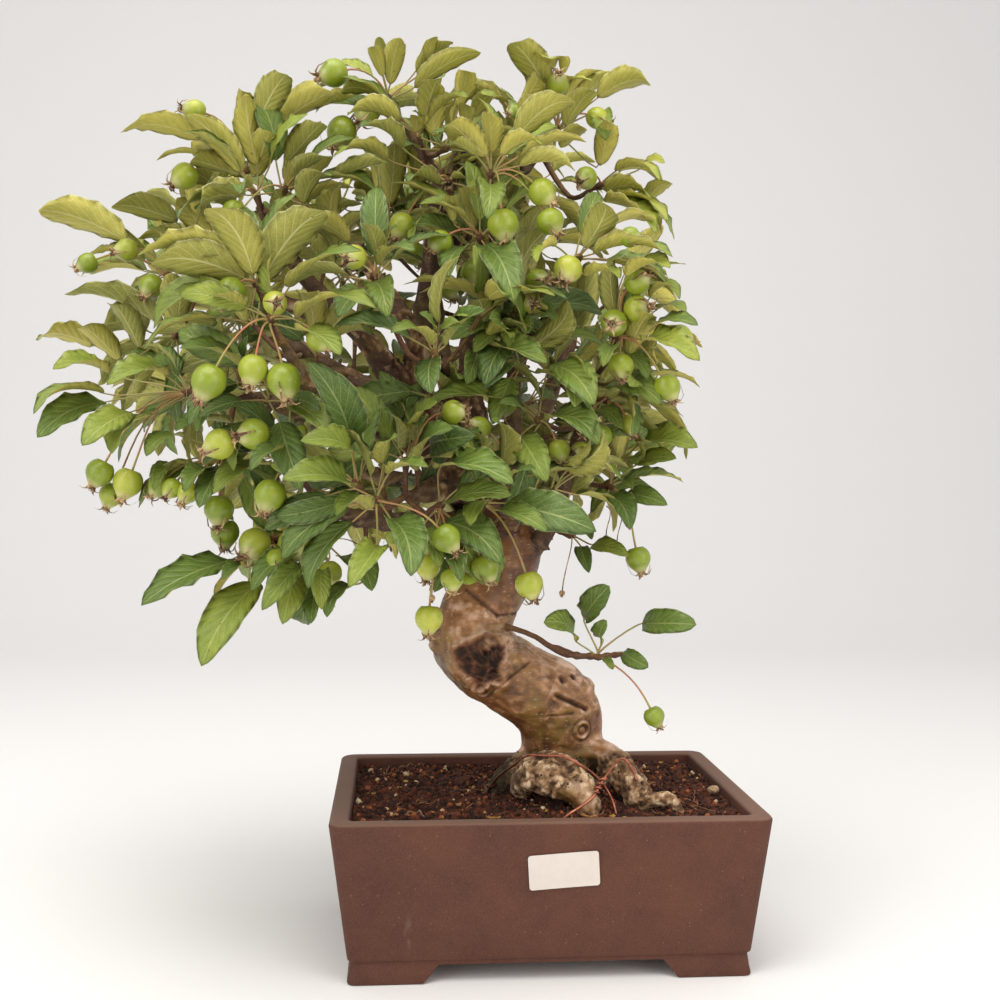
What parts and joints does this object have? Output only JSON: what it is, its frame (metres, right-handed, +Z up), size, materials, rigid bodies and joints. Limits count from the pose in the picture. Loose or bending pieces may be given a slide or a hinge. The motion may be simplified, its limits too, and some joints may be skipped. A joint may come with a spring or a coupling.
{
  "type": "potted bonsai tree",
  "caption": "Flowering crabapple bonsai in fruit: an S-shaped trunk with a rounded leafy crown, in a tapered rectangular stoneware pot on four feet.",
  "frame": {"origin": "middle of the whole object's bounding box in plan, on the surface that the four feet stand on", "axes": "+Z up, -Y towards the tree's front, +X to the right as seen from the front"},
  "size_m": [0.438, 0.3524, 0.563],
  "materials": {
    "stoneware": "matte unglazed red-brown stoneware, with pale dust and fine specks",
    "soil": "loose granular soil of red-brown clay grains, bark crumbs and pale grit",
    "bark": "smooth tan bark with cracks, pores and wound scars, rough and mossy at the base",
    "copper": "dull brown aged copper wire",
    "pebble_stone": "dull tan pebble",
    "drain_mesh": "black plastic mesh",
    "tag_paper": "plain white paper tag",
    "foliage": "leathery green leaves with paler olive undersides, glossy yellow-green fruit and tan stalks"
  },
  "bodies": {
    "root": {"pot": "stoneware", "soil": "soil", "trunk_and_branches": "bark", "wire_over_roots": "copper", "wire_across_roots": "copper", "pebble": "pebble_stone", "drain_screen_1": "drain_mesh", "drain_screen_2": "drain_mesh", "paper_tag": "tag_paper", "spray_leader_tip": "foliage", "spray_crown_middle": "foliage", "spray_crown_right": "foliage", "spray_high_right": "foliage", "spray_far_right": "foliage", "spray_right_shoulder": "foliage", "spray_right_cluster": "foliage", "spray_right_middle": "foliage", "spray_right_inner": "foliage", "spray_low_right": "foliage", "spray_low_right_twig": "foliage", "spray_front_low": "foliage", "spray_dark_leaf": "foliage", "spray_low_middle": "foliage", "spray_low_middle_right": "foliage", "spray_centre_low": "foliage", "spray_centre_left": "foliage", "spray_heart_leaf": "foliage", "spray_centre_right": "foliage", "spray_centre_top": "foliage", "spray_upper_middle": "foliage", "spray_upper_left": "foliage", "spray_big_olive": "foliage", "spray_grey_leaves": "foliage", "spray_top_left": "foliage", "spray_left_shoulder": "foliage", "spray_far_left": "foliage", "spray_left_upper": "foliage", "spray_left_tip": "foliage", "spray_left_low": "foliage", "spray_left_fruit": "foliage", "spray_low_left": "foliage", "spray_low_left_inner": "foliage", "spray_back_1": "foliage", "spray_back_2": "foliage", "spray_back_3": "foliage", "spray_back_4": "foliage", "spray_back_5": "foliage", "spray_back_6": "foliage", "spray_back_7": "foliage", "spray_back_8": "foliage", "spray_back_9": "foliage", "spray_back_10": "foliage", "spray_back_11": "foliage", "spray_back_12": "foliage", "spray_back_13": "foliage", "spray_back_14": "foliage", "side_shoot": "foliage", "spray_low_behind": "foliage", "spray_right_behind": "foliage", "spray_high_behind": "foliage"}
  },
  "joints": []
}
